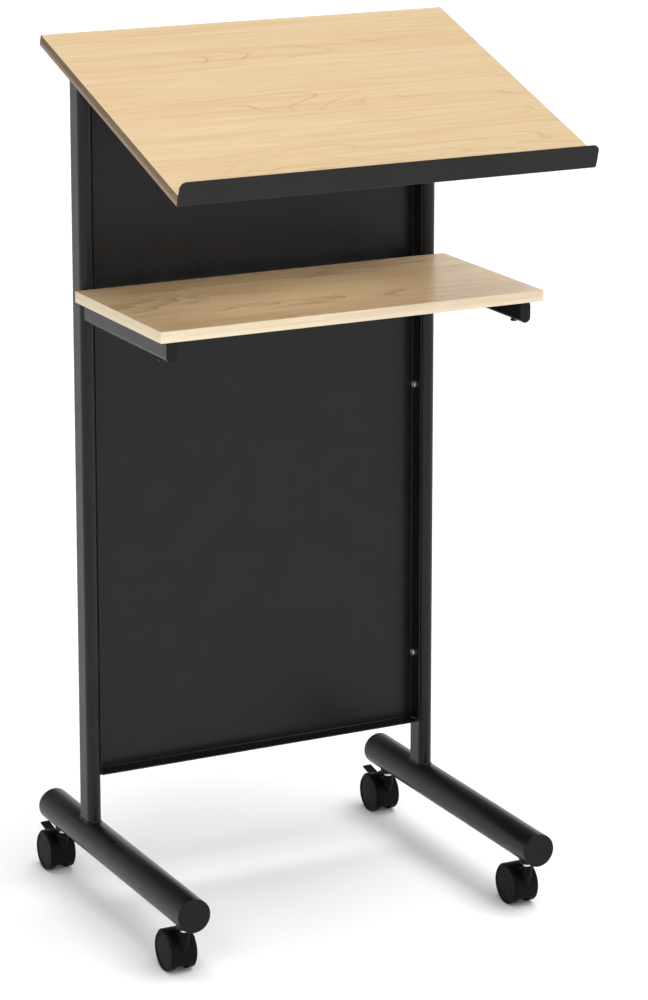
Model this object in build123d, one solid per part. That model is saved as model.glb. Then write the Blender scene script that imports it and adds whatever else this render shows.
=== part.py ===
from build123d import *
import os
from math import atan2, cos, degrees, radians, sin, sqrt

# Mobile presentation lectern: a sloping desk and a shelf on two oval uprights, a folded
# sheet panel between them, and two round foot tubes on swivel castors.
# Millimetres.  The origin is on the floor, under the middle of the overall size.  +Z is up,
# the speaker stands at -Y and faces +Y, and left (-X) and front (-Y) are as they see them.

# ---------------------------------------------------------------- driving dimensions
DESK_WIDTH = 600.0
DESK_DEPTH = 450.0             # along the slope
DESK_SLOPE = 18.5              # degrees, rising away from the speaker
DESK_TOP_HEIGHT = 1202.0       # highest edge of the desk surface
DESK_OVERHANG = 32.0           # desk's back edge behind the uprights' centre line
BOARD_THICKNESS = 15.0
EDGE_STRIP = 0.8
EDGE_ROUNDING = 0.4

SHELF_WIDTH = 558.0
SHELF_DEPTH = 275.0
SHELF_HEIGHT = 864.5           # top of the shelf
SHELF_GAP = 1.0                # shelf's back edge in front of the uprights

UPRIGHT_X = 258.5
UPRIGHT_Y = 117.0              # puts the origin under the middle of the overall depth
UPRIGHT_WIDE = 20.0
UPRIGHT_DEEP = 40.0
ARM_WIDE = 15.0
ARM_DEEP = 30.0
TUBE_WALL = 1.5
CAP_FACE = 2.0                 # thickness of an end cap's face
PLUG_WALL = 1.6                # of the hollow plug behind it
PLUG_SLACK = 0.1               # between the plug and the tube's bore, each side

PANEL_BOTTOM = 180.0
PANEL_TOP = 1170.0
PANEL_FRONT = -14.5            # flanges' front edge, from the uprights' centre line
PANEL_FOLD = 25.5              # depth of the folded flanges
SHEET = 1.5
PANEL_BOLT_HEIGHTS = (280.0, 675.0, 1070.0)
PANEL_BOLT_OFFSET = 3.0        # behind the uprights' centre line
PANEL_BOLT_RADIUS = 3.0
PANEL_BOLT_HEAD = (5.2, 3.2)   # radius and height

FOOT_DIAMETER = 46.0
FOOT_LENGTH = 470.0
FOOT_HEIGHT = 93.0             # centre of the foot tubes
FOOT_BEHIND = 131.5            # foot's back end behind the uprights' centre line
FOOT_WALL = 2.0

STOP_WIDTH = 597.0
STOP_RISE = 16.8               # book stop above the desk surface
STOP_FLANGE = 28.0             # its fold under the board
STOP_CORNER = 9.0

WHEEL_DIAMETER = 54.5
CASTOR_WIDTH = 38.0
CASTOR_TRAIL = 27.0            # wheel axle behind the swivel axis
STEM_INSET = 32.0              # swivel axis from the end of the foot tube
RUNNING_CLEARANCE = 0.06       # radial, between turning parts and their shafts
GAP = 0.3                      # between parts that move past each other

# ---------------------------------------------------------------- derived sizes
FOOT_BACK_Y = UPRIGHT_Y + FOOT_BEHIND
FOOT_FRONT_Y = FOOT_BACK_Y - FOOT_LENGTH
FOOT_RADIUS = FOOT_DIAMETER / 2
UPRIGHT_INNER_X = UPRIGHT_X - UPRIGHT_WIDE / 2
SHELF_BACK_Y = UPRIGHT_Y - UPRIGHT_DEEP / 2 - SHELF_GAP
SHELF_FRONT_Y = SHELF_BACK_Y - SHELF_DEPTH
SHELF_ARM_FRONT_Y = SHELF_FRONT_Y + 11.0
SHELF_ARM_Z = SHELF_HEIGHT - BOARD_THICKNESS - ARM_DEEP / 2
WHEEL_RADIUS = WHEEL_DIAMETER / 2

# The desk's own frame: origin at the middle of its front top edge, x across,
# y up the slope and z out of the surface.
SLOPE = radians(DESK_SLOPE)
DESK_PLANE = Plane(
    origin=(
        0,
        UPRIGHT_Y + DESK_OVERHANG - DESK_DEPTH * cos(SLOPE),
        DESK_TOP_HEIGHT - DESK_DEPTH * sin(SLOPE),
    ),
    x_dir=(1, 0, 0),
    z_dir=(0, -sin(SLOPE), cos(SLOPE)),
)
DESK_ARM_FRONT = 75.0                                        # from the desk's front edge
UPRIGHT_ON_DESK = DESK_DEPTH - DESK_OVERHANG / cos(SLOPE)    # uprights' centre line, up the slope
BEYOND = 400.0                                               # larger than any cut needs

SIDES = {"left": -1, "right": 1}
ENDS = {"front": FOOT_FRONT_Y + STEM_INSET, "back": FOOT_BACK_Y - STEM_INSET}


# ---------------------------------------------------------------- helpers
def block(x_range, y_range, z_range):
    """A box that fills three ranges."""
    ranges = (x_range, y_range, z_range)
    size = [high - low for low, high in ranges]
    middle = [(high + low) / 2 for low, high in ranges]
    return Pos(*middle) * Box(*size)


def rod(start, end, radius):
    """A round bar from start to end."""
    axis = Vector(*end) - Vector(*start)
    return extrude(Plane(origin=start, z_dir=axis) * Circle(radius), amount=axis.length)


def oval_bar(plane, wide, deep, length):
    """A flat-oval bar along the plane's z axis, with its long side along the plane's y."""
    return extrude(plane * SlotOverall(deep, wide, rotation=90), amount=length)


def oval_tube(plane, wide, deep, length, wall):
    """The same section with a bore of even wall."""
    bore = oval_bar(plane, wide - 2 * wall, deep - 2 * wall, length)
    return oval_bar(plane, wide, deep, length) - bore


def oval_cap(plane, wide, deep, wall):
    """A push-in cap: a face as large as the tube, and a plug that fills its bore behind it."""
    plug_depth = 10.0
    edge_chamfer = 0.6
    inset = 2 * (wall + PLUG_SLACK)
    bore = inset + 2 * PLUG_WALL
    face = oval_bar(plane, wide, deep, CAP_FACE)
    face = chamfer(face.faces().sort_by(Axis(plane.origin, plane.z_dir))[-1].edges(), edge_chamfer)
    plug = oval_bar(plane, wide - inset, deep - inset, -plug_depth)
    hollow = oval_bar(plane, wide - bore, deep - bore, -plug_depth)
    return face + (plug - hollow)


def screw(shank_length, shank_radius, head_radius, head_height):
    """A pan-head screw along +Z, with the underside of its head at z = 0."""
    head = rod((0, 0, -head_height), (0, 0, 0), head_radius)
    head = fillet(head.faces().sort_by(Axis.Z)[0].edges(), 0.45 * head_height)
    arm_length = 1.05 * head_radius
    arm_width = 0.24 * head_radius
    recess = Pos(0, 0, -head_height) * (
        Box(arm_length, arm_width, 1.2 * head_height) + Box(arm_width, arm_length, 1.2 * head_height)
    )
    return (head - recess) + rod((0, 0, 0), (0, 0, shank_length), shank_radius)


os.makedirs("parts", exist_ok=True)


def save(node, *solids):
    """Write one node's solids to its own file."""
    shape = solids[0] if len(solids) == 1 else Compound(children=list(solids))
    shape.label = node
    export_step(shape, f"parts/{node}.step")


# ---------------------------------------------------------------- desk and book stop
BOARD_SCREW_RADIUS = 2.5
BOARD_SCREW_BITE = 11.0            # how far a screw goes into a board
DESK_SCREW_PLACES = (130.0, 360.0)     # up the slope
SHELF_SCREW_PLACES = (SHELF_FRONT_Y + 42.0, SHELF_BACK_Y - 45.0)
STOP_SCREW_X = (-240.0, -80.0, 80.0, 240.0)
STOP_SCREW_Y = 15.0
STOP_SCREW_RADIUS = 2.0
STOP_SCREW_HEAD = (3.6, 2.2)       # radius and height
BOARD_SCREW_HEAD = (4.8, 3.0)


def edged_board(width, depth):
    """A board lying under z = 0 from y = 0 to y = depth, and the strips round its edges."""
    half = width / 2
    z_range = (-BOARD_THICKNESS, 0)
    core = block(
        (-half + EDGE_STRIP, half - EDGE_STRIP),
        (EDGE_STRIP, depth - EDGE_STRIP),
        z_range,
    )
    ring = block((-half, half), (0, depth), z_range)
    rims = ring.edges().filter_by(Axis.X) + ring.edges().filter_by(Axis.Y)
    ring = fillet(rims, EDGE_ROUNDING) - core
    along = block((-half, half), (EDGE_STRIP, depth - EDGE_STRIP), z_range)
    strips = (ring - along).solids() + (ring & along).solids()
    return core, strips


def make_book_stop():
    """An angle of bent sheet: a plate on the desk's front edge and a flange under the board."""
    underside = -BOARD_THICKNESS
    half = STOP_WIDTH / 2
    plate = block((-half, half), (-SHEET, 0), (underside - SHEET, STOP_RISE))
    top_corners = plate.edges().filter_by(Axis.Y).group_by(Axis.Z)[-1]
    plate = fillet(top_corners, STOP_CORNER)
    flange = block((-half, half), (-SHEET, STOP_FLANGE), (underside - SHEET, underside))
    stop = plate + flange
    bend = stop.edges().filter_by(Axis.X).sort_by(lambda edge: edge.center().Y + edge.center().Z)[0]
    stop = fillet(bend, SHEET)
    for x in STOP_SCREW_X:
        hole_top = (x, STOP_SCREW_Y, underside)
        hole_bottom = (x, STOP_SCREW_Y, underside - SHEET)
        stop -= rod(hole_bottom, hole_top, STOP_SCREW_RADIUS)
    return stop


def make_desk():
    """The sloping board, its edging, the book stop, and the screws from below."""
    to_desk = DESK_PLANE.location
    core, strips = edged_board(DESK_WIDTH, DESK_DEPTH)
    arm_screws = []
    for side in SIDES.values():
        for y in DESK_SCREW_PLACES:
            length = ARM_DEEP + BOARD_SCREW_BITE
            head_z = -BOARD_THICKNESS - ARM_DEEP
            place = Pos(side * UPRIGHT_X, y, head_z)
            arm_screws.append(place * screw(length, BOARD_SCREW_RADIUS, *BOARD_SCREW_HEAD))
    stop_screws = []
    for x in STOP_SCREW_X:
        place = Pos(x, STOP_SCREW_Y, -BOARD_THICKNESS - SHEET)
        stop_screws.append(place * screw(BOARD_SCREW_BITE, STOP_SCREW_RADIUS, *STOP_SCREW_HEAD))
    for fastener in arm_screws + stop_screws:
        core -= fastener
    save("desk_board", to_desk * core)
    save("desk_edge_strips", *[to_desk * strip for strip in strips])
    save("desk_screws", *[to_desk * item for item in arm_screws])
    save("book_stop", to_desk * make_book_stop())
    save("book_stop_screws", *[to_desk * item for item in stop_screws])


# ---------------------------------------------------------------- shelf
def make_shelf():
    """The level board, its edging, and the screws that come up through the shelf arms."""
    place = Pos(0, SHELF_FRONT_Y, SHELF_HEIGHT)
    core, strips = edged_board(SHELF_WIDTH, SHELF_DEPTH)
    core = place * core
    screws = []
    for side in SIDES.values():
        for y in SHELF_SCREW_PLACES:
            length = ARM_DEEP + BOARD_SCREW_BITE
            head = Pos(side * UPRIGHT_X, y, SHELF_ARM_Z - ARM_DEEP / 2)
            screws.append(head * screw(length, BOARD_SCREW_RADIUS, *BOARD_SCREW_HEAD))
    for fastener in screws:
        core -= fastener
    save("shelf_board", core)
    save("shelf_edge_strips", *[place * strip for strip in strips])
    save("shelf_screws", *screws)


# ---------------------------------------------------------------- uprights and arms
def upright_bar(side, inset=0.0):
    """An upright's solid outline, from the foot's centre to beyond the desk."""
    plane = Plane(origin=(side * UPRIGHT_X, UPRIGHT_Y, FOOT_HEIGHT))
    height = DESK_TOP_HEIGHT - FOOT_HEIGHT
    return oval_bar(plane, UPRIGHT_WIDE - 2 * inset, UPRIGHT_DEEP - 2 * inset, height)


def under_desk(top, bottom):
    """The slab of space between two depths below the desk surface."""
    slab = block((-BEYOND, BEYOND), (-BEYOND, DESK_DEPTH + BEYOND), (-bottom, -top))
    return DESK_PLANE.location * slab


def foot_bar(side, radius):
    """A solid bar as long as the foot, used for coping what meets it."""
    x = side * UPRIGHT_X
    return rod((x, FOOT_FRONT_Y, FOOT_HEIGHT), (x, FOOT_BACK_Y, FOOT_HEIGHT), radius)


def make_uprights():
    """Oval tubes, coped onto the feet and cut along the desk's slope under closing plates."""
    nut_radius = 4.5
    nut_length = 12.0
    bolts = []
    nuts = []
    for name, side in SIDES.items():
        tube = upright_bar(side) - upright_bar(side, TUBE_WALL) - foot_bar(side, FOOT_RADIUS)
        tube -= under_desk(-BEYOND, BOARD_THICKNESS + CAP_FACE)
        cap = upright_bar(side) & under_desk(BOARD_THICKNESS, BOARD_THICKNESS + CAP_FACE)
        for z in PANEL_BOLT_HEIGHTS:
            wall = Plane(
                origin=(side * UPRIGHT_INNER_X, UPRIGHT_Y + PANEL_BOLT_OFFSET, z),
                z_dir=(side, 0, 0),
            )
            nut_hole = extrude(wall * Circle(nut_radius), amount=nut_length)
            bolt_hole = extrude(wall * Circle(PANEL_BOLT_RADIUS), amount=nut_length)
            tube -= nut_hole
            nuts.append(nut_hole - bolt_hole)
            head_seat = wall.offset(-SHEET)
            bolt = screw(nut_length, PANEL_BOLT_RADIUS, *PANEL_BOLT_HEAD)
            bolts.append(head_seat.location * bolt)
        save(f"upright_{name}", tube)
        save(f"upright_cap_{name}", cap)
    save("panel_bolts", *bolts)
    save("panel_rivet_nuts", *nuts)


def make_arms():
    """The arms under the shelf and under the desk, coped onto the uprights' round fronts."""
    for name, side in SIDES.items():
        x = side * UPRIGHT_X
        clearance_hole = BOARD_SCREW_RADIUS + 0.2
        facing_speaker = Plane(
            origin=(x, UPRIGHT_Y, SHELF_ARM_Z), x_dir=(1, 0, 0), z_dir=(0, -1, 0)
        )
        length = UPRIGHT_Y - SHELF_ARM_FRONT_Y - CAP_FACE
        arm = oval_tube(facing_speaker, ARM_WIDE, ARM_DEEP, length, TUBE_WALL)
        for y in SHELF_SCREW_PLACES:
            low = SHELF_ARM_Z - ARM_DEEP / 2
            arm -= rod((x, y, low), (x, y, low + ARM_DEEP), clearance_hole)
        save(f"shelf_arm_{name}", arm - upright_bar(side))
        cap_plane = facing_speaker.offset(length)
        save(f"shelf_arm_cap_{name}", oval_cap(cap_plane, ARM_WIDE, ARM_DEEP, TUBE_WALL))

        middle = -BOARD_THICKNESS - ARM_DEEP / 2
        down_slope = Plane(
            origin=(x, UPRIGHT_ON_DESK, middle), x_dir=(1, 0, 0), z_dir=(0, -1, 0)
        )
        length = UPRIGHT_ON_DESK - DESK_ARM_FRONT - CAP_FACE
        arm = oval_tube(down_slope, ARM_WIDE, ARM_DEEP, length, TUBE_WALL)
        for y in DESK_SCREW_PLACES:
            arm -= rod((x, y, middle - ARM_DEEP / 2), (x, y, middle + ARM_DEEP / 2), clearance_hole)
        arm = DESK_PLANE.location * arm
        save(f"desk_arm_{name}", arm - upright_bar(side))
        cap = oval_cap(down_slope.offset(length), ARM_WIDE, ARM_DEEP, TUBE_WALL)
        save(f"desk_arm_cap_{name}", DESK_PLANE.location * cap)


# ---------------------------------------------------------------- back panel
BEND_INSIDE = 1.0              # inside radius of the folds


def make_panel():
    """A pan of folded sheet, open towards the speaker, with relieved corners."""
    half = UPRIGHT_INNER_X
    front = UPRIGHT_Y + PANEL_FRONT
    back = front + PANEL_FOLD
    outside = block((-half, half), (front, back), (PANEL_BOTTOM, PANEL_TOP))
    outside = fillet(outside.faces().sort_by(Axis.Y)[-1].edges(), BEND_INSIDE + SHEET)
    inside = block(
        (-half + SHEET, half - SHEET),
        (front, back - SHEET),
        (PANEL_BOTTOM + SHEET, PANEL_TOP - SHEET),
    )
    inside = fillet(inside.faces().sort_by(Axis.Y)[-1].edges(), BEND_INSIDE)
    pan = outside - inside
    slit = 1.2
    relief_radius = 2.5
    corner_cut = 3.0
    for side in SIDES.values():
        for z, inward in ((PANEL_BOTTOM, 1), (PANEL_TOP, -1)):
            x_near = side * (half - SHEET)
            x_far = side * (half - SHEET - slit)
            x_range = (min(x_near, x_far), max(x_near, x_far))
            z_sheet = (z, z + inward * SHEET)
            z_range = (min(z_sheet), max(z_sheet))
            pan -= block(x_range, (front, back - 2 * relief_radius), z_range)
            middle = (side * (half - SHEET - slit / 2), back - 2 * relief_radius)
            pan -= rod((*middle, z_range[0]), (*middle, z_range[1]), relief_radius)
            # the side flange's front corner is clipped
            cutter = Box(4 * half, corner_cut, corner_cut)
            corner = Pos(0, front, z) * Rot(45, 0, 0) * cutter
            side_flange = block(
                (half - SHEET, half) if side > 0 else (-half, -half + SHEET),
                (front, back),
                (PANEL_BOTTOM, PANEL_TOP),
            )
            pan -= corner & side_flange
        for z in PANEL_BOLT_HEIGHTS:
            y = UPRIGHT_Y + PANEL_BOLT_OFFSET
            pan -= rod((side * (half - SHEET), y, z), (side * half, y, z), PANEL_BOLT_RADIUS)
    save("back_panel", pan)


# ---------------------------------------------------------------- feet
SOCKET_SLEEVE_RADIUS = 7.0
SOCKET_COLLAR_RADIUS = 11.0
SOCKET_BOTTOM = 66.0
SOCKET_TOP = 108.0


def make_feet():
    """Round tubes, running front to back, with a flat cap in each end."""
    plug_depth = 12.0
    plug_radius = FOOT_RADIUS - FOOT_WALL - PLUG_SLACK
    edge_chamfer = 0.8
    for name, side in SIDES.items():
        x = side * UPRIGHT_X
        front = FOOT_FRONT_Y + CAP_FACE
        back = FOOT_BACK_Y - CAP_FACE
        tube = rod((x, front, FOOT_HEIGHT), (x, back, FOOT_HEIGHT), FOOT_RADIUS)
        tube -= rod((x, front, FOOT_HEIGHT), (x, back, FOOT_HEIGHT), FOOT_RADIUS - FOOT_WALL)
        for y in ENDS.values():
            tube -= rod((x, y, SOCKET_BOTTOM), (x, y, FOOT_HEIGHT), SOCKET_SLEEVE_RADIUS)
        save(f"foot_tube_{name}", tube)
        for end, y, outward in (("front", front, -1), ("back", back, 1)):
            face = rod((x, y, FOOT_HEIGHT), (x, y + outward * CAP_FACE, FOOT_HEIGHT), FOOT_RADIUS)
            outer_rim = face.faces().sort_by(Axis.Y)[0 if outward < 0 else -1].edges()
            face = chamfer(outer_rim, edge_chamfer)
            inner_end = (x, y - outward * plug_depth, FOOT_HEIGHT)
            plug = rod((x, y, FOOT_HEIGHT), inner_end, plug_radius)
            plug -= rod((x, y, FOOT_HEIGHT), inner_end, plug_radius - PLUG_WALL)
            save(f"foot_cap_{end}_{name}", face + plug)


# ---------------------------------------------------------------- castors
# Each castor is drawn about its own swivel axis, which is x = y = 0, and then moved.
HOOD_HALF_WIDTH = 9.0          # of the hood's middle, between the wheels
FENDER_HALF_WIDTH = 16.5       # of the fenders that cover both treads
HOOD_RADIUS = WHEEL_RADIUS + 2.05
HOOD_FRONT_EDGE = 12.0         # the hood's lower edge above the floor, in front
HOOD_BACK_EDGE = 16.0          # and behind
FENDER_GAP = 0.6               # between a fender and the tread inside it
FENDER_ROUNDING = 0.6
RIB = 3.5                      # thickness of the hood's rim between the wheels
WEB_HALF = 2.5
NECK_HALF = 5.8
NECK_HEIGHTS = (28.0, 54.0)
BOSS_RADIUS = 6.8
BOSS_TOP = 61.0
BOSS_ROUNDING = 1.2
TAPER_TOP = 48.0               # below this the boss leans back into the hood
TAPER_BOTTOM = 24.0
TAPER_LEAN = 6.0
TAPER_RADIUS = 5.5
STEM_RADIUS = 5.45
STEM_SLACK = 0.05
SPIGOT_RADIUS = 4.0
SPIGOT_BOTTOM = 42.0
BEAD = (44.0, 47.0)            # snap bead on the spigot, from and to
BEAD_RISE = 0.6
AXLE_RADIUS = 3.0
AXLE_HALF = 17.0
HUB_RADIUS = 6.5
LEVER_HALF = 6.25
LEVER_SIDE_GAP = 0.35
PIVOT = (12.0, 16.0)           # brake lever's pivot, behind and above the axle
PIVOT_PIN_RADIUS = 1.5
CHEEKS = (5.0, 5.0)            # the braked hood is solid behind and above this
SLOT = (3.0, 5.0)              # and its lever's slot starts here


def beside_axle(y, z):
    """A point's y and z from its offsets to the wheel axle."""
    return CASTOR_TRAIL + y, WHEEL_RADIUS + z


def cross_bar(offset, half_width, radius):
    """A bar parallel to the axle, at an offset from it."""
    y, z = beside_axle(*offset)
    return rod((-half_width, y, z), (half_width, y, z), radius)


def castor_socket():
    """A sleeve in the foot tube, with a collar that fits round the tube's underside."""
    collar = rod((0, 0, SOCKET_BOTTOM), (0, 0, FOOT_HEIGHT), SOCKET_COLLAR_RADIUS)
    tube = rod((0, -BEYOND, FOOT_HEIGHT), (0, BEYOND, FOOT_HEIGHT), FOOT_RADIUS)
    sleeve = rod((0, 0, SOCKET_BOTTOM), (0, 0, SOCKET_TOP), SOCKET_SLEEVE_RADIUS)
    bore = rod((0, 0, SOCKET_BOTTOM), (0, 0, SOCKET_TOP), STEM_RADIUS + STEM_SLACK)
    return (collar - tube) + sleeve - bore


def castor_stem():
    """The steel stem: held in the socket above, and the pivot in the hood's boss below."""
    shoulder = BOSS_TOP + GAP
    top = SOCKET_TOP - 2.0
    stem = rod((0, 0, shoulder), (0, 0, top), STEM_RADIUS)
    stem = chamfer(stem.faces().sort_by(Axis.Z)[-1].edges(), 1.5)
    spigot = rod((0, 0, SPIGOT_BOTTOM), (0, 0, shoulder), SPIGOT_RADIUS)
    bead = rod((0, 0, BEAD[0]), (0, 0, BEAD[1]), SPIGOT_RADIUS + BEAD_RISE)
    return stem + spigot + bead


def castor_hood(braked):
    """The nylon body: fenders, a rim and a web between the wheels, and the boss in front."""
    fender = cross_bar((0, 0), FENDER_HALF_WIDTH, HOOD_RADIUS)
    fender = fillet(fender.edges().filter_by(GeomType.CIRCLE), FENDER_ROUNDING)
    fender -= cross_bar((0, 0), FENDER_HALF_WIDTH, WHEEL_RADIUS + FENDER_GAP)
    rim_radius = HOOD_RADIUS - FENDER_ROUNDING
    rim = cross_bar((0, 0), HOOD_HALF_WIDTH, rim_radius)
    rim -= cross_bar((0, 0), HOOD_HALF_WIDTH, HOOD_RADIUS - RIB)
    web = cross_bar((0, 0), WEB_HALF, rim_radius)
    rise = degrees(atan2(HOOD_BACK_EDGE - HOOD_FRONT_EDGE, 2 * HOOD_RADIUS))
    lower_edge = Pos(0, CASTOR_TRAIL, (HOOD_FRONT_EDGE + HOOD_BACK_EDGE) / 2) * Rot(rise, 0, 0)
    body = (fender + rim + web) & (lower_edge * Pos(0, 0, BEYOND / 2) * Box(BEYOND, BEYOND, BEYOND))

    if braked:
        y_near, z_near = beside_axle(*CHEEKS)
        cheeks = cross_bar((0, 0), HOOD_HALF_WIDTH, rim_radius)
        cheeks &= block((-BEYOND, BEYOND), (y_near, BEYOND), (z_near, BEYOND))
        slot_half = LEVER_HALF + LEVER_SIDE_GAP
        y_slot, z_slot = beside_axle(*SLOT)
        slot = block((-slot_half, slot_half), (y_slot, BEYOND), (z_slot, BEYOND))
        body = (body + cheeks) - slot
        body -= cross_bar(PIVOT, HOOD_HALF_WIDTH, PIVOT_PIN_RADIUS)

    hub_clearance = 3.0
    neck_end, _ = beside_axle(-HUB_RADIUS - hub_clearance, 0)
    neck = block((-NECK_HALF, NECK_HALF), (0, neck_end), NECK_HEIGHTS)
    boss = rod((0, 0, TAPER_TOP), (0, 0, BOSS_TOP), BOSS_RADIUS)
    boss = fillet(boss.faces().sort_by(Axis.Z)[-1].edges(), BOSS_ROUNDING)
    taper = loft([
        Pos(0, TAPER_LEAN, TAPER_BOTTOM) * Circle(TAPER_RADIUS),
        Pos(0, 0, TAPER_TOP) * Circle(BOSS_RADIUS),
    ])
    body += neck + boss + taper

    clear = RUNNING_CLEARANCE
    body -= rod((0, 0, SPIGOT_BOTTOM - 1), (0, 0, BOSS_TOP), SPIGOT_RADIUS + clear)
    bead_radius = SPIGOT_RADIUS + BEAD_RISE + clear
    body -= rod((0, 0, BEAD[0] - GAP), (0, 0, BEAD[1] + GAP), bead_radius)
    body -= cross_bar((0, 0), HOOD_HALF_WIDTH, AXLE_RADIUS)
    return body


def castor_axle():
    """The steel axle, fixed in the hood's web."""
    axle = cross_bar((0, 0), AXLE_HALF, AXLE_RADIUS)
    return chamfer(axle.faces().filter_by(Axis.X).edges(), 0.5)


def castor_wheel(side):
    """One of the two wheels: tread, web, hub with a blind bore, and a face set inside a rim."""
    outer = CASTOR_WIDTH / 2
    inner = HOOD_HALF_WIDTH + 0.5
    bore = AXLE_RADIUS + RUNNING_CLEARANCE
    bore_end = AXLE_HALF + GAP
    web_inside = 14.5
    tread_inside = WHEEL_RADIUS - 3.5
    shoulder = 1.6
    hub_end = WEB_HALF + 0.5
    rim_edge = WHEEL_RADIUS - shoulder
    rim_inside = WHEEL_RADIUS - 3.2
    step_run = 0.5
    face_edge = outer - 0.9        # the face bulges from this to the next, across the middle
    face_middle = outer - 0.3
    middle_radius = 10.0
    with BuildSketch(Plane.XY) as half_section:
        with BuildLine():
            lower = Polyline(
                (0, bore_end),
                (bore, bore_end),
                (bore, hub_end),
                (HUB_RADIUS, hub_end),
                (HUB_RADIUS, web_inside),
                (tread_inside, web_inside),
                (tread_inside, inner),
                (WHEEL_RADIUS, inner),
                (WHEEL_RADIUS, outer - shoulder),
            )
            corner = shoulder * sqrt(0.5)
            arc_middle = (rim_edge + corner, outer - shoulder + corner)
            shoulder_arc = ThreePointArc(lower @ 1, arc_middle, (rim_edge, outer))
            Polyline(
                shoulder_arc @ 1,
                (rim_inside, outer),
                (rim_inside - step_run, face_edge),
                (middle_radius, face_middle),
                (0, face_middle),
                lower @ 0,
            )
        make_face()
    wheel = revolve(half_section.sketch, axis=Axis.Y)
    # the revolved wheel lies with its axis along Y: turn that axis to +X or -X
    y, z = beside_axle(0, 0)
    return Pos(0, y, z) * Rot(0, 0, -90 * side) * wheel


def brake_lever():
    """A rocker in the hood's slot, with a foot tab that stands up behind the wheels."""
    tab_points = [(8.5, 19.0), (21, 24.2), (40, 27.8), (41, 25.2), (23, 20.8), (16, 14.0)]
    outline = Polygon(*[beside_axle(y, z) for y, z in tab_points], align=None)
    side_plane = Plane(origin=(0, 0, 0), x_dir=(0, 1, 0), z_dir=(1, 0, 0))
    tab = extrude(side_plane * outline, amount=LEVER_HALF, both=True)
    lobe = cross_bar(PIVOT, LEVER_HALF, 4.5)
    y_low, z_low = beside_axle(PIVOT[0] - 2.2, 9.0)
    y_high, z_high = beside_axle(PIVOT[0] + 2.2, PIVOT[1])
    nose = block((-LEVER_HALF, LEVER_HALF), (y_low, y_high), (z_low, z_high))
    lever = tab + lobe + nose
    return lever - cross_bar(PIVOT, LEVER_HALF, PIVOT_PIN_RADIUS + RUNNING_CLEARANCE)


def make_castors():
    """Four castors, trailing away from the speaker; the two at the back have a brake."""
    for end, y in ENDS.items():
        for name, side in SIDES.items():
            place = Pos(side * UPRIGHT_X, y, 0)
            corner = f"{end}_{name}"
            save(f"castor_socket_{corner}", place * castor_socket())
            save(f"castor_stem_{corner}", place * castor_stem())
            save(f"castor_hood_{corner}", place * castor_hood(end == "back"))
            save(f"castor_axle_{corner}", place * castor_axle())
            save(f"castor_wheel_left_{corner}", place * castor_wheel(-1))
            save(f"castor_wheel_right_{corner}", place * castor_wheel(1))
            if end == "back":
                save(f"brake_lever_{name}", place * brake_lever())
                pin = cross_bar(PIVOT, HOOD_HALF_WIDTH, PIVOT_PIN_RADIUS)
                save(f"brake_pin_{name}", place * pin)


make_desk()
make_shelf()
make_uprights()
make_arms()
make_panel()
make_feet()
make_castors()
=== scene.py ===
import bpy
import bmesh
from math import cos, pi, radians, sin, sqrt
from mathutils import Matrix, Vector


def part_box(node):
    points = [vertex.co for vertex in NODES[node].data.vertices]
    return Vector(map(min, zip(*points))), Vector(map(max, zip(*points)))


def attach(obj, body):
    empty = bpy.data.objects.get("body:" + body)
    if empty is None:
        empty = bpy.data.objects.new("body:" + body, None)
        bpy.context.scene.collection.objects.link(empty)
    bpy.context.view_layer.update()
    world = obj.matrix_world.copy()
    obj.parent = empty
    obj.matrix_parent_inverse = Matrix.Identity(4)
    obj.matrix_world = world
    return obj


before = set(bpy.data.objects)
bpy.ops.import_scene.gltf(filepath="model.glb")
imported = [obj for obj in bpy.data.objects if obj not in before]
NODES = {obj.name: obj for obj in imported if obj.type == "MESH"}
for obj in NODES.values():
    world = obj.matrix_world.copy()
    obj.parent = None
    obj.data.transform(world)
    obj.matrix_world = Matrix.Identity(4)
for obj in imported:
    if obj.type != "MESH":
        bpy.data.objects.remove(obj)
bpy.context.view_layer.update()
SIDES = ("left", "right")
MM = 0.001

# the part's own measures
DESK_SLOPE = radians(18.5)
BOARD_THICKNESS = 15 * MM
UPRIGHT_DEEP = 40 * MM         # the uprights' oval, from front to back
ARM_DEEP = 30 * MM             # the arms' oval, square to the board

# colours that several finishes share, as linear RGB
GREY_WEAR = (0.05, 0.05, 0.052)         # dust, and edges rubbed pale
NYLON_BLACK = (0.0034, 0.0034, 0.0038)
PALE_EDGING = (0.70, 0.59, 0.43)


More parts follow.
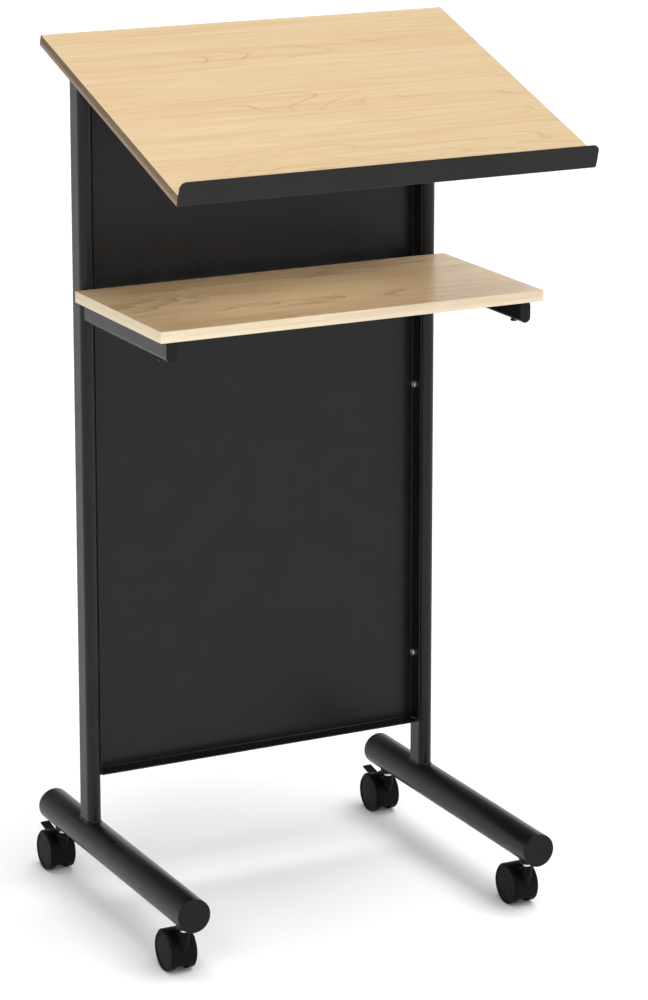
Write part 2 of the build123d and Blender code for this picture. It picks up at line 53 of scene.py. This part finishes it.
# ---------------------------------------------------------------- shader graph helper
class Graph:
    """One material and its nodes.

    Coordinates are the object's own, in metres, so a noise's scale counts features to a metre."""

    def __init__(self, name):
        self.material = bpy.data.materials.new(name)
        self.material.use_nodes = True
        self.tree = self.material.node_tree
        self.shader = self.tree.nodes["Principled BSDF"]
        self.place = self.node("TexCoord").outputs["Object"]

    def node(self, kind, inputs=None, **settings):
        made = self.tree.nodes.new("ShaderNode" + kind)
        for key, value in settings.items():
            setattr(made, key, value)
        for key, value in (inputs or {}).items():
            self.put(made.inputs[key], value)
        return made

    def put(self, socket, value):
        if isinstance(value, bpy.types.NodeSocket):
            self.tree.links.new(value, socket)
        else:
            socket.default_value = value

    def set(self, **values):
        """Sets or links the shader's sockets: Base_Color=..., Roughness=..."""
        for key, value in values.items():
            self.put(self.shader.inputs[key.replace("_", " ")], value)

    def mapped(self, scale=(1, 1, 1), rotation=(0, 0, 0), source=None):
        inputs = {"Vector": source or self.place, "Scale": scale, "Rotation": rotation}
        return self.node("Mapping", inputs).outputs["Vector"]

    def noise(self, scale, vector=None, detail=3.0, rough=0.5, distortion=0.0):
        inputs = {
            "Vector": vector or self.place,
            "Scale": scale,
            "Detail": detail,
            "Roughness": rough,
            "Distortion": distortion,
        }
        return self.node("TexNoise", inputs).outputs["Fac"]

    def math(self, operation, a, b=0.0):
        return self.node("Math", {0: a, 1: b}, operation=operation).outputs[0]

    def remap(self, value, low, high, to_low=0.0, to_high=1.0):
        inputs = {
            "Value": value,
            "From Min": low,
            "From Max": high,
            "To Min": to_low,
            "To Max": to_high,
        }
        return self.node("MapRange", inputs, clamp=True).outputs["Result"]

    def mix(self, factor, a, b):
        made = self.node("Mix", data_type="RGBA")
        for index, value in ((0, factor), (6, a), (7, b)):
            if isinstance(value, tuple):
                value = (*value, 1.0)
            self.put(made.inputs[index], value)
        return made.outputs[2]

    def bump(self, height, strength, distance, normal):
        inputs = {
            "Height": height,
            "Strength": strength,
            "Distance": distance,
            "Normal": normal,
        }
        return self.node("Bump", inputs).outputs["Normal"]

    def rounded(self, radius):
        """The normal with every sharp edge softened over a radius."""
        return self.node("Bevel", {"Radius": radius}, samples=6).outputs["Normal"]

    def edge_mask(self, radius):
        """1 on sharp edges, 0 on faces."""
        soft = self.rounded(radius)
        hard = self.node("NewGeometry").outputs["Normal"]
        facing = self.node("VectorMath", {0: soft, 1: hard}, operation="DOT_PRODUCT")
        return self.remap(facing.outputs["Value"], 0.97, 0.80)


# ---------------------------------------------------------------- materials
def laminate(name, slope, depth):
    """Satin birch-pattern melamine, with its grain along X.  depth is how strong the pattern is."""
    g = Graph(name)
    board = g.mapped(rotation=(-slope, 0, 0))
    parts = g.node("SeparateXYZ", {0: board}).outputs
    long_wave = g.noise(1.0, g.mapped((2.4, 9.0, 3.0), source=board), detail=2.0)
    short_wave = g.noise(1.0, g.mapped((14.0, 45.0, 9.0), source=board), detail=2.0)
    long_bend = g.math("MULTIPLY", long_wave, 30 * MM)
    short_bend = g.math("MULTIPLY", short_wave, 3 * MM)
    bend = g.math("ADD", long_bend, short_bend)
    across = g.math("ADD", parts["Y"], bend)
    grain = g.node("CombineXYZ", {"X": parts["X"], "Y": across, "Z": parts["Z"]}).outputs[0]

    plank = g.noise(1.0, g.mapped((0.9, 7.0, 2.0), source=grain), detail=2.0)
    broad = g.noise(1.0, g.mapped((1.8, 48.0, 9.0), source=grain), detail=3.0, rough=0.55)
    streak = g.noise(1.0, g.mapped((3.4, 190.0, 30.0), source=grain), detail=4.0, rough=0.65)
    fine = g.noise(1.0, g.mapped((9.0, 620.0, 80.0), source=grain), detail=3.0, rough=0.7)
    fibre = g.noise(1.0, g.mapped((70.0, 1500.0, 200.0), source=grain), detail=2.0, rough=0.7)

    # growth rings: contour lines of a field drawn out along the grain
    field = g.noise(1.0, g.mapped((1.7, 11.0, 4.0), source=board), detail=1.5, distortion=0.25)
    field = g.math("ADD", field, g.math("MULTIPLY", streak, 0.012))
    ring = g.math("FRACT", g.math("MULTIPLY", field, 21.0))
    ring_patch = g.remap(g.noise(1.0, g.mapped((2.6, 13.0, 9.0), source=board)), 0.46, 0.62)
    ring_tint = g.math("MULTIPLY", g.remap(ring, 0.25, 1.0, 0.0, 0.45 * depth), ring_patch)
    ring_line = g.math("MULTIPLY", g.remap(ring, 0.86, 0.98, 0.0, 0.42 * depth), ring_patch)
    fleck = g.noise(1.0, g.mapped((60.0, 800.0, 90.0), source=grain), detail=1.0)
    fleck = g.remap(fleck, 0.74, 0.80)

    cream = (0.640, 0.492, 0.305)
    honey = (0.588, 0.398, 0.198)
    rose = (0.540, 0.352, 0.186)
    pale = (0.690, 0.562, 0.378)
    brown = (0.300, 0.175, 0.085)
    ring_honey = tuple(c / depth for c in honey)  # darker where the pattern is stronger
    tone = g.mix(g.remap(plank, 0.35, 0.68, 0.05, 0.50), cream, honey)
    tone = g.mix(g.remap(broad, 0.42, 0.66, 0.0, min(1.0, 0.65 * depth)), tone, honey)
    tone = g.mix(g.remap(streak, 0.50, 0.72, 0.0, min(1.0, 0.70 * depth)), tone, rose)
    tone = g.mix(g.remap(streak, 0.46, 0.28, 0.0, 0.60), tone, pale)
    tone = g.mix(g.remap(fine, 0.52, 0.75, 0.0, 0.60), tone, rose)
    tone = g.mix(g.remap(fine, 0.46, 0.28, 0.0, 0.45), tone, pale)
    tone = g.mix(ring_tint, tone, ring_honey)
    tone = g.mix(ring_line, tone, brown)
    tone = g.mix(g.math("MULTIPLY", fleck, 0.35), tone, brown)
    tone = g.mix(g.remap(fibre, 0.35, 0.75, 0.0, 0.22), tone, pale)
    g.set(
        Base_Color=tone,
        Roughness=g.remap(fine, 0.3, 0.7, 0.27, 0.35),
        Normal=g.bump(g.math("SUBTRACT", fine, fleck), 0.05, 0.2 * MM, g.rounded(0.4 * MM)),
        Specular_IOR_Level=0.45,
    )
    return g.material


def edge_band(name, light, dark, slope, surface, shade):
    """Printed plastic edging: fine streaks along the strip, and a painted highlight that makes its
    rounded upper edge paler.

    surface is the board surface's distance from the origin, along its normal; shade is the colour
    of the strip's
    lower part, which is painted light: the light that the floor throws up onto it."""
    g = Graph(name)
    board = g.mapped(rotation=(-slope, 0, 0))
    streaks = g.noise(1.0, g.mapped((14.0, 14.0, 500.0), source=board), detail=4.0, rough=0.6)
    dashes = g.noise(1.0, g.mapped((150.0, 150.0, 1800.0), source=board), detail=2.0, rough=0.7)
    patches = g.noise(9.0, board, detail=2.0)
    tone = g.mix(g.remap(streaks, 0.35, 0.7, 0.0, 0.8), light, dark)
    tone = g.mix(g.remap(dashes, 0.55, 0.75, 0.0, 0.5), tone, dark)
    tone = g.mix(g.remap(patches, 0.4, 0.75, 0.0, 0.25), tone, dark)
    # painted light from the floor: the strip's lower part is mixed towards the shade colour, which
    # on the desk is lighter than the rest
    height = g.node("SeparateXYZ", {0: board}).outputs["Z"]
    floor_lit_from = surface - 8 * MM
    floor_lit_full = surface - 11 * MM
    tone = g.mix(g.remap(height, floor_lit_from, floor_lit_full, 0.0, 0.8), tone, shade)
    # painted highlight: faces turned up off the board, as on the strip's rounded upper edge, are
    # made paler as if lit from above
    face = g.node("NewGeometry").outputs["Normal"]
    off_board = (0, -sin(slope), cos(slope))
    painted_top_highlight = g.node("VectorMath", {0: face, 1: off_board}, operation="DOT_PRODUCT")
    pale = (0.70, 0.59, 0.42)
    tone = g.mix(g.remap(painted_top_highlight.outputs["Value"], 0.35, 0.8, 0.0, 0.85), tone, pale)
    worn = tuple(min(1.0, 1.12 * c) for c in light)
    tone = g.mix(g.math("MULTIPLY", g.edge_mask(0.6 * MM), 0.5), tone, worn)
    g.set(
        Base_Color=tone,
        Roughness=g.remap(streaks, 0.3, 0.7, 0.50, 0.60),
        Normal=g.bump(streaks, 0.06, 0.2 * MM, g.rounded(0.6 * MM)),
        Specular_IOR_Level=0.14,
    )
    return g.material


def powder_coat(name, colour=(0.0046, 0.0046, 0.0050), roughness=0.30, specular=0.24):
    """Satin black powder coat: orange peel, faint mottling, and rubbed edges."""
    g = Graph(name)
    peel = g.noise(620.0, detail=2.0, rough=0.45)
    grain = g.noise(2600.0, detail=1.0)
    mottle = g.noise(16.0, detail=4.0)
    dust = g.remap(g.noise(900.0, detail=1.0), 0.72, 0.80)
    rubbed = g.math("MULTIPLY", g.edge_mask(0.8 * MM), g.remap(mottle, 0.35, 0.65, 0.1, 0.75))
    lighter = tuple(c * 3.2 for c in colour)
    rubbed_pale = (0.065, 0.065, 0.068)
    tone = g.mix(g.remap(mottle, 0.35, 0.7, 0.0, 0.22), colour, lighter)
    tone = g.mix(g.math("MULTIPLY", dust, 0.25), tone, GREY_WEAR)
    tone = g.mix(g.math("MULTIPLY", rubbed, 0.45), tone, rubbed_pale)
    height = g.math("ADD", peel, g.math("MULTIPLY", grain, 0.25))
    g.set(
        Base_Color=tone,
        Roughness=g.remap(mottle, 0.3, 0.7, roughness - 0.04, roughness + 0.05),
        Normal=g.bump(height, 0.10, 0.4 * MM, g.rounded(0.7 * MM)),
        Specular_IOR_Level=specular,
    )
    return g.material


def moulded(name, colour, roughness, texture=1400.0, specular=0.35):
    """Moulded plastic with a fine spark-eroded grain."""
    g = Graph(name)
    grain = g.node("TexVoronoi", {"Vector": g.place, "Scale": texture}).outputs["Distance"]
    mottle = g.noise(40.0, detail=3.0)
    scuff = g.remap(g.noise(1.0, g.mapped((60.0, 400.0, 160.0)), detail=3.0), 0.62, 0.78)
    lighter = tuple(c * 2.6 for c in colour)
    tone = g.mix(g.remap(mottle, 0.35, 0.7, 0.0, 0.3), colour, lighter)
    tone = g.mix(g.math("MULTIPLY", scuff, 0.25), tone, lighter)
    tone = g.mix(g.math("MULTIPLY", g.edge_mask(0.7 * MM), 0.45), tone, GREY_WEAR)
    g.set(
        Base_Color=tone,
        Roughness=g.remap(mottle, 0.3, 0.7, roughness - 0.05, roughness + 0.06),
        Normal=g.bump(grain, 0.10, 0.3 * MM, g.rounded(0.6 * MM)),
        Specular_IOR_Level=specular,
    )
    return g.material


def wheel_nylon(name):
    """The castor wheels' nylon: like the hoods', with a scuffed, dusty tread.

    The tread is the part of a wheel furthest from its axle, which runs along X."""
    g = Graph(name)
    box = g.node("TexCoord").outputs["Generated"]
    parts = g.node("SeparateXYZ", {0: box}).outputs
    dy = g.math("SUBTRACT", parts["Y"], 0.5)
    dz = g.math("SUBTRACT", parts["Z"], 0.5)
    squared = g.math("ADD", g.math("MULTIPLY", dy, dy), g.math("MULTIPLY", dz, dz))
    radius = g.math("SQRT", squared)
    tread = g.remap(radius, 0.475, 0.495)
    grain = g.node("TexVoronoi", {"Vector": g.place, "Scale": 1500.0}).outputs["Distance"]
    mottle = g.noise(55.0, detail=4.0)
    scuffs = g.noise(1.0, g.mapped((500.0, 90.0, 90.0)), detail=4.0, rough=0.7)
    lighter = (0.0075, 0.0075, 0.0082)
    dust = (0.045, 0.043, 0.040)
    tone = g.mix(g.remap(mottle, 0.35, 0.7, 0.0, 0.35), NYLON_BLACK, lighter)
    dusty = g.math("MULTIPLY", tread, g.remap(scuffs, 0.40, 0.70, 0.03, 0.40))
    tone = g.mix(dusty, tone, dust)
    tone = g.mix(g.math("MULTIPLY", g.edge_mask(0.7 * MM), 0.3), tone, GREY_WEAR)
    height = g.math("ADD", grain, g.math("MULTIPLY", scuffs, tread))
    g.set(
        Base_Color=tone,
        Roughness=g.remap(mottle, 0.3, 0.7, 0.42, 0.55),
        Normal=g.bump(height, 0.10, 0.3 * MM, g.rounded(0.6 * MM)),
        Specular_IOR_Level=0.06,
    )
    return g.material


def zinc_plate(name):
    """Bright zinc plate with fine scratches and a cloudy finish."""
    g = Graph(name)
    cloud = g.noise(180.0, detail=4.0)
    scratches = g.noise(1.0, g.mapped((300.0, 2500.0, 2500.0)), detail=2.0)
    dull = (0.60, 0.60, 0.58)
    bright = (0.76, 0.76, 0.73)
    polished = (0.85, 0.85, 0.84)
    tone = g.mix(g.remap(cloud, 0.35, 0.7), dull, bright)
    tone = g.mix(g.math("MULTIPLY", g.edge_mask(0.4 * MM), 0.4), tone, polished)
    g.set(
        Base_Color=tone,
        Metallic=1.0,
        Roughness=g.remap(cloud, 0.3, 0.7, 0.24, 0.42),
        Normal=g.bump(scratches, 0.12, 0.2 * MM, g.rounded(0.4 * MM)),
    )
    return g.material


def paint(names, material):
    for name in names:
        slots = NODES[name].data.materials
        slots.clear()
        slots.append(material)


def named(*starts):
    return [name for name in NODES if name.startswith(starts)]


STEEL = powder_coat("powder_coat_black")
CAP_PLASTIC = moulded("moulded_plastic_black", (0.0042, 0.0042, 0.0047), 0.50, specular=0.16)
NYLON = moulded("moulded_nylon_black", NYLON_BLACK, 0.50, specular=0.06)
ZINC = zinc_plate("zinc_plate_bright")

paint(["desk_board"], laminate("laminate_birch_desk", DESK_SLOPE, 1.0))
paint(["shelf_board"], laminate("laminate_birch_shelf", 0.0, 1.7))

# the desk's upper back edge: nothing is higher, and only the lower back edge is further back
strip_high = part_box("desk_edge_strips")[1]
desk_edge_y = strip_high.y - BOARD_THICKNESS * sin(DESK_SLOPE)
desk_surface = strip_high.z * cos(DESK_SLOPE) - desk_edge_y * sin(DESK_SLOPE)
# the desk's edging is brown, and its colours are made darker still as painted shade: the shade
# along the desk's side
paint(
    ["desk_edge_strips"],
    edge_band(
        "edging_desk",
        light=(0.175, 0.122, 0.072),
        dark=(0.095, 0.064, 0.036),
        slope=DESK_SLOPE,
        surface=desk_surface,
        # painted light: a lighter brown for the strip's lower part, as if lit from the floor below
        shade=(0.300, 0.222, 0.138),
    ),
)
paint(
    ["shelf_edge_strips"],
    edge_band(
        "edging_shelf",
        light=PALE_EDGING,
        dark=(0.55, 0.45, 0.31),
        slope=0.0,
        surface=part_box("shelf_board")[1].z,
        shade=PALE_EDGING,
    ),
)
paint(
    named("book_stop", "desk_arm_", "shelf_arm_", "upright_", "back_panel", "foot_tube_")
    + named("desk_screws", "shelf_screws"),
    STEEL,
)
paint(named("desk_arm_cap", "shelf_arm_cap", "foot_cap_", "castor_socket_"), CAP_PLASTIC)
paint(named("castor_hood_", "brake_lever_"), NYLON)
paint(named("castor_wheel_"), wheel_nylon("wheel_nylon_black"))
paint(
    named("panel_bolts", "panel_rivet_nuts", "castor_stem_", "castor_axle_", "brake_pin_"),
    ZINC,
)


# ---------------------------------------------------------------- welds
BEAD_SIDES = 10
BEAD_STEP = 0.45 * MM          # between the rings of a bead
BEAD_FLATNESS = 0.75           # height over half width
BEAD_LEAN = 0.8                # bulge along the tube it goes round, for 1 outwards
FOOT_BEAD_RADIUS = 1.7 * MM
ARM_BEAD_RADIUS = 1.4 * MM
ARM_BEAD_START = 0.12          # shares of the way round an arm
ARM_BEAD_END = 0.88
RIPPLE_PITCH = 1.9 * MM
RIPPLE_SWELL = 0.16            # this and the next ones are shares of the bead's radius
WAVER_SWELL = 0.07
TIP_SWELL = 0.35               # an open bead's first and last ring
TIP_GROWTH = 0.2               # what each ring further in adds
WAVER_RATE = 310.0             # radians for each metre of bead


def bead_mesh(name, points, outwards, radius, closed):
    """A weld bead: a low ridge along a path, with the overlapping ripples of the weld pool.

    outwards holds, for each point, the direction the bead bulges towards."""
    mesh_builder = bmesh.new()
    rings = []
    travelled = 0.0
    last = points[-1] if closed else points[0]
    for index, (point, out) in enumerate(zip(points, outwards)):
        before = points[index - 1] if closed or index else point
        more = closed or index < len(points) - 1
        after = points[(index + 1) % len(points)] if more else point
        along = (after - before).normalized()
        out = (out - along * out.dot(along)).normalized()
        side = along.cross(out)
        travelled += (point - last).length
        last = point
        phase = (travelled / RIPPLE_PITCH) % 1.0
        swell = 1.0 + RIPPLE_SWELL * sin(pi * phase) + WAVER_SWELL * sin(travelled * WAVER_RATE)
        if not closed:
            from_tip = min(index, len(points) - 1 - index)
            swell *= min(1.0, TIP_SWELL + TIP_GROWTH * from_tip)
        ring = []
        for step in range(BEAD_SIDES):
            turn = 2 * pi * step / BEAD_SIDES
            offset = out * cos(turn) * BEAD_FLATNESS + side * sin(turn)
            ring.append(mesh_builder.verts.new(point + offset * radius * swell))
        rings.append(ring)
    pairs = list(zip(rings, rings[1:])) + ([(rings[-1], rings[0])] if closed else [])
    for ring, following in pairs:
        for step in range(BEAD_SIDES):
            beside = (step + 1) % BEAD_SIDES
            corners = (ring[step], ring[beside], following[beside], following[step])
            mesh_builder.faces.new(corners)
    if not closed:
        mesh_builder.faces.new(rings[0])
        mesh_builder.faces.new(list(reversed(rings[-1])))
    bmesh.ops.recalc_face_normals(mesh_builder, faces=mesh_builder.faces)
    mesh = bpy.data.meshes.new(name)
    mesh_builder.to_mesh(mesh)
    mesh_builder.free()
    mesh.materials.append(STEEL)
    mesh.shade_smooth()
    piece = bpy.data.objects.new(name, mesh)
    bpy.context.scene.collection.objects.link(piece)
    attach(piece, "frame")
    return piece


def oval_outline(wide, deep, step, start=0.0, end=1.0):
    """Points round a flat oval with its long side along the second axis, and their outward
    directions.  start and end are shares of the way round from the top, clockwise."""
    radius = wide / 2
    straight = deep - wide
    length = 2 * straight + 2 * pi * radius
    count = int(length * (end - start) / step)
    found = []
    for index in range(count if end - start == 1.0 else count + 1):
        s = (start * length + index * (end - start) * length / count) % length
        arcs = pi * radius / 2
        if s < arcs or s >= length - arcs:
            turn = s / radius if s < arcs else (s - length) / radius
            centre, angle = (0.0, straight / 2), turn
        elif s < arcs + straight:
            found.append(((radius, straight / 2 - (s - arcs)), (1.0, 0.0)))
            continue
        elif s < 3 * arcs + straight:
            centre, angle = (0.0, -straight / 2), (s - straight) / radius
        else:
            found.append(((-radius, -straight / 2 + (s - 3 * arcs - straight)), (-1.0, 0.0)))
            continue
        way = (sin(angle), cos(angle))
        found.append(((centre[0] + radius * way[0], centre[1] + radius * way[1]), way))
    return found


def weld_on_foot(name, side_name):
    """The bead round an upright's coped foot, on top of the foot tube."""
    low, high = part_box(f"upright_{side_name}")
    tube_low, tube_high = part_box(f"foot_tube_{side_name}")
    centre_x = (low.x + high.x) / 2
    upright_y = (low.y + high.y) / 2
    tube_radius = (tube_high.z - tube_low.z) / 2
    tube_z = (tube_high.z + tube_low.z) / 2
    points = []
    outwards = []
    for (x, y), (out_x, out_y) in oval_outline(high.x - low.x, UPRIGHT_DEEP, BEAD_STEP):
        z = tube_z + sqrt(tube_radius ** 2 - x ** 2)
        points.append(Vector((centre_x + x, upright_y + y, z)))
        outwards.append(Vector((out_x, out_y, BEAD_LEAN)))
    bead_mesh(name, points, outwards, FOOT_BEAD_RADIUS, closed=True)


def weld_on_upright(name, side_name, arm, along, up):
    """The bead between an arm and the upright's round front, left open at the top."""
    low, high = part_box(f"upright_{side_name}")
    arm_low, arm_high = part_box(arm)
    centre_x = (low.x + high.x) / 2
    radius = (high.x - low.x) / 2
    front_y = UPRIGHT_FRONT_Y + radius
    wide = arm_high.x - arm_low.x
    # a point on the arm's centre line, from the middle of its free end
    cap_low, cap_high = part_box(arm.replace("_arm_", "_arm_cap_"))
    end = Vector((centre_x, (cap_low.y + cap_high.y) / 2, (cap_low.z + cap_high.z) / 2))
    points = []
    outwards = []
    outline = oval_outline(wide, ARM_DEEP, BEAD_STEP, ARM_BEAD_START, ARM_BEAD_END)
    for (x, w), (out_x, out_w) in outline:
        start = end + up * w
        surface_y = front_y - sqrt(radius ** 2 - x ** 2)
        reach = (surface_y - start.y) / along.y
        points.append(start + along * reach + Vector((x, 0, 0)))
        outwards.append(Vector((out_x, 0, 0)) + up * out_w - along * BEAD_LEAN)
    bead_mesh(name, points, outwards, ARM_BEAD_RADIUS, closed=False)


upright_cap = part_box("upright_cap_left")
UPRIGHT_FRONT_Y = (upright_cap[0].y + upright_cap[1].y) / 2 - UPRIGHT_DEEP / 2
UP_SLOPE = Vector((0.0, cos(DESK_SLOPE), sin(DESK_SLOPE)))
OFF_DESK = Vector((0.0, -sin(DESK_SLOPE), cos(DESK_SLOPE)))
for side_name in SIDES:
    weld_on_foot(f"weld_foot_{side_name}", side_name)
    weld_on_upright(
        f"weld_shelf_arm_{side_name}",
        side_name,
        f"shelf_arm_{side_name}",
        Vector((0.0, 1.0, 0.0)),
        Vector((0.0, 0.0, 1.0)),
    )
    weld_on_upright(
        f"weld_desk_arm_{side_name}", side_name, f"desk_arm_{side_name}", UP_SLOPE, OFF_DESK
    )


# ---------------------------------------------------------------- studio
# strength of the light that comes from each part of the room
ROOM_FRONT = 1.36              # the speaker's side
ROOM_TOP = 0.55                # the speaker's side, overhead
BACKDROP = 1.10                # behind the object, low down
ROOM_DARK = 0.08               # behind the object, above the backdrop
ROOM_LEFT = 0.50               # share of all these that the far left keeps

# where one part passes into the next, along one axis of a direction
BACKDROP_TOP = (0.28, 0.42)    # Z, from BACKDROP to ROOM_DARK
OVERHEAD_FROM = (0.50, 0.75)   # Z, from ROOM_FRONT to ROOM_TOP
BEHIND_FROM = (-0.25, 0.20)    # Y, from the speaker's side to behind the object
LEFT_END = (-0.70, -0.10)      # X, from the far left to the rest

SUN_DIRECTION = (-0.14, 0.12, -1.0)
SUN_WIDTH = 52.0               # degrees
SUN_STRENGTH = 2.78

FRONT_LAMP_PLACE = (-1.05, -0.95, 1.0)
FRONT_LAMP_AIM = (0.0, 0.0, 0.85)
FRONT_LAMP_SIZE = (0.5, 0.5)
FRONT_LAMP_POWER = 5.5         # watts

SHELF_LAMP_X = -0.04
SHELF_LAMP_FORWARD = 0.05      # from the shelf's middle line
SHELF_LAMP_HEIGHT = 0.15       # above the shelf
SHELF_LAMP_SIZE = (0.44, 0.12)
SHELF_LAMP_POWER = 0.30        # watts

CAMERA_PLACE = (-2.0955, -4.2019, 1.8734)
CAMERA_DOWN = 12.37            # degrees below the horizon
CAMERA_RIGHT = 26.97           # degrees to the right of +Y
CAMERA_LENS = 129.24           # millimetres
CAMERA_SENSOR = 36.0           # millimetres, along the picture's longer side
CAMERA_SHIFT = -0.20           # share of the picture's longer side
CAMERA_REACH = 200.0           # metres


def make_floor():
    """A very large, nearly white floor."""
    g = Graph("floor_white")
    tone = g.noise(3.0, detail=3.0)
    white = (0.94, 0.94, 0.945)
    g.set(
        Base_Color=g.mix(g.remap(tone, 0.4, 0.6), white, (0.95, 0.95, 0.955)),
        Roughness=0.75,
        Specular_IOR_Level=0.2,
    )
    mesh = bpy.data.meshes.new("floor")
    half = 40.0
    drop = 0.2 * MM
    around = ((-half, -half), (half, -half), (half, half), (-half, half))
    corners = [(x, y, -drop) for x, y in around]
    mesh.from_pydata(corners, [], [(0, 1, 2, 3)])
    mesh.materials.append(g.material)
    floor = bpy.data.objects.new("floor", mesh)
    bpy.context.scene.collection.objects.link(floor)


def make_world():
    """White to the camera.  As light, a bright room on the speaker's side that dims overhead, a
    bright backdrop behind the object with the dark above it, and less of all on the far left."""
    world = bpy.data.worlds.new("studio")
    world.use_nodes = True
    tree = world.node_tree
    tree.nodes.clear()

    def node(kind, **settings):
        made = tree.nodes.new("ShaderNode" + kind)
        for key, value in settings.items():
            setattr(made, key, value)
        return made

    room = node("Background")
    backdrop = node("Background")
    backdrop.inputs["Strength"].default_value = 1.0
    direction = node("SeparateXYZ")
    tree.links.new(node("TexCoord").outputs["Generated"], direction.inputs[0])
    height = node("MapRange")
    overhead = node("MapRange")
    behind = node("MapRange")
    front = node("Mix", data_type="FLOAT")
    rear = node("Mix", data_type="FLOAT")
    whole = node("Mix", data_type="FLOAT")
    left = node("MapRange")
    dimmed = node("Math", operation="MULTIPLY")
    ranges = (
        (height, direction.outputs["Z"], BACKDROP_TOP),
        (overhead, direction.outputs["Z"], OVERHEAD_FROM),
        (behind, direction.outputs["Y"], BEHIND_FROM),
        (left, direction.outputs["X"], LEFT_END),
    )
    for remap, source, (low, high) in ranges:
        tree.links.new(source, remap.inputs["Value"])
        remap.inputs["From Min"].default_value = low
        remap.inputs["From Max"].default_value = high
    tree.links.new(height.outputs["Result"], rear.inputs["Factor"])
    rear.inputs["A"].default_value = BACKDROP
    rear.inputs["B"].default_value = ROOM_DARK
    tree.links.new(behind.outputs["Result"], whole.inputs["Factor"])
    tree.links.new(overhead.outputs["Result"], front.inputs["Factor"])
    front.inputs["A"].default_value = ROOM_FRONT
    front.inputs["B"].default_value = ROOM_TOP
    tree.links.new(front.outputs["Result"], whole.inputs["A"])
    tree.links.new(rear.outputs["Result"], whole.inputs["B"])
    left.inputs["To Min"].default_value = ROOM_LEFT
    tree.links.new(whole.outputs["Result"], dimmed.inputs[0])
    tree.links.new(left.outputs["Result"], dimmed.inputs[1])
    tree.links.new(dimmed.outputs[0], room.inputs["Strength"])
    for shade in (room, backdrop):
        shade.inputs["Color"].default_value = (1.0, 1.0, 1.0, 1.0)
    seen = node("LightPath")
    choose = node("MixShader")
    out = node("OutputWorld")
    tree.links.new(seen.outputs["Is Camera Ray"], choose.inputs["Fac"])
    tree.links.new(room.outputs[0], choose.inputs[1])
    tree.links.new(backdrop.outputs[0], choose.inputs[2])
    tree.links.new(choose.outputs[0], out.inputs["Surface"])
    bpy.context.scene.world = world


def area_light(name, place, target, size, power):
    """A rectangular lamp that lights the object but shows in no picture or reflection."""
    data = bpy.data.lights.new(name, "AREA")
    data.shape = "RECTANGLE"
    data.size, data.size_y = size
    data.energy = power
    lamp = bpy.data.objects.new(name, data)
    lamp.location = place
    aim = Vector(target) - Vector(place)
    lamp.rotation_euler = aim.to_track_quat("-Z", "Y").to_euler()
    lamp.visible_camera = False
    lamp.visible_glossy = False
    bpy.context.scene.collection.objects.link(lamp)


def sun_light(name, direction, angle, strength):
    data = bpy.data.lights.new(name, "SUN")
    data.angle = radians(angle)
    data.energy = strength
    lamp = bpy.data.objects.new(name, data)
    lamp.rotation_euler = Vector(direction).to_track_quat("-Z", "Y").to_euler()
    bpy.context.scene.collection.objects.link(lamp)


def make_lights():
    sun_light("overhead", SUN_DIRECTION, SUN_WIDTH, SUN_STRENGTH)
    area_light("front_left", FRONT_LAMP_PLACE, FRONT_LAMP_AIM, FRONT_LAMP_SIZE, FRONT_LAMP_POWER)
    # unseen, just above the shelf: it fills the shade there, as a white room's own light would
    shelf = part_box("shelf_board")
    y = (shelf[0].y + shelf[1].y) / 2 - SHELF_LAMP_FORWARD
    place = (SHELF_LAMP_X, y, shelf[1].z + SHELF_LAMP_HEIGHT)
    aim = (SHELF_LAMP_X, y, 0.0)
    area_light("shelf_fill", place, aim, SHELF_LAMP_SIZE, SHELF_LAMP_POWER)


def make_camera():
    data = bpy.data.cameras.new("camera")
    data.sensor_width = CAMERA_SENSOR
    data.lens = CAMERA_LENS
    data.shift_y = CAMERA_SHIFT
    data.clip_end = CAMERA_REACH
    camera = bpy.data.objects.new("camera", data)
    camera.location = CAMERA_PLACE
    camera.rotation_euler = (radians(90 - CAMERA_DOWN), 0.0, radians(-CAMERA_RIGHT))
    bpy.context.scene.collection.objects.link(camera)
    bpy.context.scene.camera = camera


make_floor()
make_world()
make_lights()
make_camera()
bpy.context.scene.view_settings.view_transform = "Standard"
